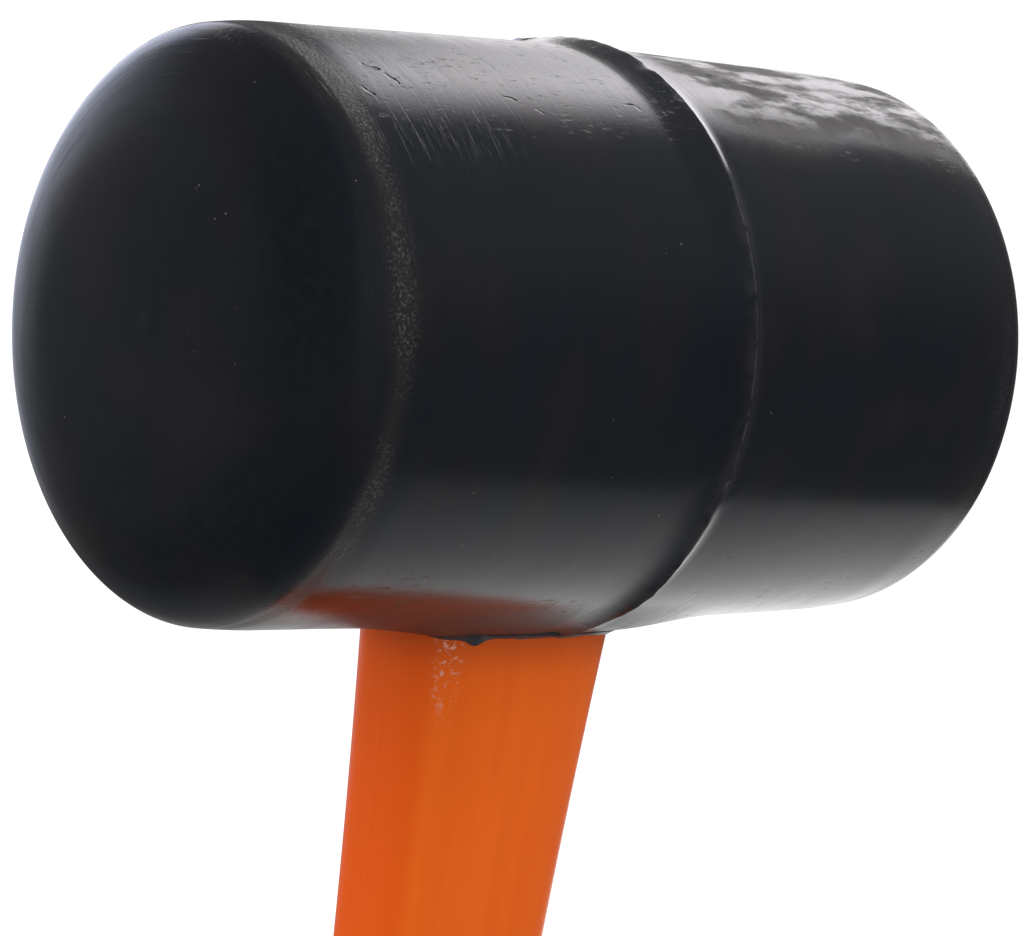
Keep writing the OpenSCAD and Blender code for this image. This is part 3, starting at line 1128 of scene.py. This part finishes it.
def make_world():
    world = bpy.data.worlds.new("studio")
    bpy.context.scene.world = world
    world.use_nodes = True
    # The even sky is found by the surfaces' own rays, so that the flags hide it from reflections
    world.cycles.sampling_method = "NONE"
    nodes = world.node_tree.nodes
    links = world.node_tree.links
    light = nodes["Background"]
    light.inputs["Color"].default_value = (*WHITE, 1)
    light.inputs["Strength"].default_value = WORLD_LIGHT
    backdrop = nodes.new("ShaderNodeBackground")
    backdrop.inputs["Strength"].default_value = 1.0
    blend = nodes.new("ShaderNodeMixShader")
    links.new(seen_share(nodes, links), blend.inputs[0])
    links.new(light.outputs[0], blend.inputs[1])
    links.new(backdrop.outputs[0], blend.inputs[2])
    links.new(blend.outputs[0], nodes["World Output"].inputs["Surface"])


def make_floor():
    corners = [(x * FLOOR_HALF, y * FLOOR_HALF, 0) for x, y in ((-1, -1), (1, -1), (1, 1), (-1, 1))]
    floor = add_object("floor", corners, [(0, 1, 2, 3)])
    s = Surface("white_paper")
    s.set("Base Color", FLOOR_COLOUR)
    s.set("Roughness", 0.9)
    s.set("Specular IOR Level", 0.0)
    s.set("Emission Color", WHITE)
    path = s.nodes.new("ShaderNodeLightPath").outputs
    seen = s.math("MAXIMUM", path["Is Camera Ray"], path["Is Transmission Ray"])
    s.set("Emission Strength", s.times(seen, FLOOR_GLOW))
    # Reflections see a bright sheet of paper behind the mallet, and a dim table around it
    back = s.along(BACK)
    right = s.along(SIDE)
    sheet = s.times(s.span(back, -0.15, 0.55), s.span(back, 0.5, 1.6, 1.40, 0.85))
    sheet = s.times(sheet, s.times(s.span(right, -0.22, -0.06), s.span(right, 0.62, 0.24)))
    table = s.times(s.span(right, -0.3, 0.15, 0.10, 0.23), s.span(back, -0.35, 0.05, 0.5, 1.0))
    far = s.span(s.math("ABSOLUTE", right), 0.5, 2.4, 0.0, 0.7)
    cool = s.times(s.span(right, -0.25, -0.60), s.span(s.along(BACK + SIDE * 0.75), 0.0, 0.35))
    glow = s.plus(s.plus(sheet, table), far)
    mirror = s.nodes.new("ShaderNodeEmission")
    s.feed(mirror.inputs["Color"], s.mix(cool, WHITE, COOL_TINT))
    s.feed(mirror.inputs["Strength"], s.plus(glow, s.times(cool, COOL_GLOW)))
    blend = s.nodes.new("ShaderNodeMixShader")
    s.feed(blend.inputs[0], path["Is Glossy Ray"])
    s.feed(blend.inputs[1], s.shader.outputs[0])
    s.feed(blend.inputs[2], mirror.outputs[0])
    s.feed(s.nodes["Material Output"].inputs["Surface"], blend.outputs[0])
    floor.data.materials.append(s.material)


def card_surface(name, tint):
    """Flat glow of a card, found only by the reflected rays themselves."""
    s = Surface(name)
    s.set("Base Color", (0, 0, 0))
    s.set("Roughness", 1.0)
    s.set("Specular IOR Level", 0.0)
    s.set("Emission Color", tint)
    s.material.cycles.emission_sampling = "NONE"
    return s


def place_card(name, points, faces, material):
    """A card that reflections see, and nothing else."""
    card = add_object(name, points, faces)
    card.data.materials.append(material)
    card.visible_camera = False
    card.visible_diffuse = False
    card.visible_shadow = False
    card.visible_transmission = False


def make_flag(name, points, faces, dark, pale, tint=WHITE):
    """A card, dark or pale, that may change above the mallet's head."""
    s = card_surface(name, tint)
    s.set("Emission Strength", s.span(s.along(UP), *FLAG_RISE, dark, pale))
    place_card(name, points, faces, s.material)


def flat_card(name, points, dark, pale):
    """A flat card, from (to the back, to the right, height) corners."""
    corners = [BACK * back + SIDE * across + UP * level for back, across, level in points]
    make_flag(name, corners, [tuple(range(len(corners)))], dark, pale)


def toward(azimuth, elevation, distance):
    """Place at a distance from the middle of the head, with angles in degrees."""
    turn = math.radians(azimuth)
    rise = math.radians(elevation)
    level = math.cos(rise)
    return HEAD_MIDDLE + distance * Vector((level * math.cos(turn), level * math.sin(turn), math.sin(rise)))


def sail_card(name, rows, distance, dark, pale, tint=WHITE):
    """A curved card behind the mallet, from (elevation, right azimuth, left azimuth) rows."""
    points = []
    for elevation, right, left in rows:
        points.append(toward(right, elevation, distance))
        points.append(toward(left, elevation, distance))
    faces = [(2 * i, 2 * i + 1, 2 * i + 3, 2 * i + 2) for i in range(len(rows) - 1)]
    make_flag(name, points, faces, dark, pale, tint)


def lamp_card(name, azimuth, elevation, distance, half_size):
    """The lamp as reflections see it: a leaning sheet, brightest along its middle."""
    middle = toward(azimuth, elevation, distance)
    ahead = (middle - HEAD_MIDDLE).normalized()
    left = UP.cross(ahead).normalized()
    over = ahead.cross(left)
    corners = ((-1, -1), (1, -1), (1, 1), (-1, 1))
    points = [middle + left * half_size * i + over * half_size * j for i, j in corners]
    lean = (left * LAMP_LEAN[0] - over * LAMP_LEAN[1]) / distance
    s = card_surface(name, LAMP_TINT)
    across = s.less(s.along(lean), lean.dot(middle))
    glow = s.span(s.math("ABSOLUTE", across), 0.0, LAMP_HALF_WIDTH, LAMP_PEAK, LAMP_EDGE)
    s.set("Emission Strength", s.plus(glow, s.span(across, *LAMP_LEFT, 0.0, LAMP_LEFT_GLOW)))
    place_card(name, points, [(0, 1, 2, 3)], s.material)


def make_softbox(name, place, size, radiance, roll=0.0, tint=WHITE):
    """A lamp on a sheet that faces the head, which neither the camera nor a reflection sees."""
    lamp = bpy.data.lights.new(name, "AREA")
    lamp.shape = "RECTANGLE"
    lamp.size, lamp.size_y = size
    lamp.energy = math.pi * size[0] * size[1] * radiance
    lamp.color = tint
    item = bpy.data.objects.new(name, lamp)
    item.location = place
    item.rotation_mode = "QUATERNION"
    turn = (place - HEAD_MIDDLE).to_track_quat("Z", "Y")
    item.rotation_quaternion = turn @ Quaternion((0, 0, 1), math.radians(roll))
    item.visible_camera = False
    item.visible_glossy = False
    bpy.context.scene.collection.objects.link(item)


def make_camera():
    data = bpy.data.cameras.new("camera")
    data.sensor_width = SENSOR_WIDTH
    data.sensor_fit = "HORIZONTAL"
    data.lens = FOCAL_PIXELS / IMAGE_WIDTH * SENSOR_WIDTH
    data.clip_start = 0.01
    data.clip_end = 100.0
    camera = bpy.data.objects.new("camera", data)
    away = CAMERA_RIGHT.cross(CAMERA_UP)
    turn = Matrix((CAMERA_RIGHT, CAMERA_UP, away)).transposed()
    camera.matrix_world = Matrix.Translation(CAMERA_PLACE) @ turn.to_4x4()
    bpy.context.scene.collection.objects.link(camera)
    bpy.context.scene.camera = camera


make_world()
make_floor()
# Dark cards to the right, to the left, above and behind the camera
flat_card("flag_right", [(back, FLAG_DISTANCE, level) for back, level in FLAG_RIGHT], dark=0.12, pale=0.25)
flat_card("flag_left", [(back, -FLAG_DISTANCE, level) for back, level in FLAG_LEFT], dark=0.07, pale=0.11)
flat_card("flag_top", FLAG_OVERHEAD, dark=0.25, pale=0.25)
flat_card("flag_front", FLAG_FRONT, dark=0.16, pale=0.25)
# A dark card behind the mallet, with the lamp over it and a cool sheet to the left
sail_card("flag_back", FLAG_BACK, distance=6.0, dark=0.14, pale=0.16)
lamp_card("back_lamp", azimuth=33, elevation=44, distance=8.0, half_size=7.0)
sail_card("left_glow", LEFT_GLOW, distance=7.0, dark=2.0, pale=2.0, tint=COOL_TINT)
# Lamps that light the surfaces
front = HEAD_MIDDLE - BACK * 1.2 - SIDE * 0.3 + UP * 0.55
make_softbox("back_softbox", toward(27, 31.8, 1.5), size=(0.56, 0.84), radiance=2.3, roll=33, tint=LAMP_TINT)
make_softbox("front_softbox", front, size=(0.9, 0.9), radiance=1.6)
make_softbox("left_fill", toward(112, 8, 1.0), size=(0.5, 0.9), radiance=2.2)
make_softbox("right_fill", toward(-18, 8, 1.0), size=(0.4, 0.9), radiance=2.1)
make_camera()
bpy.context.scene.view_settings.view_transform = "Standard"
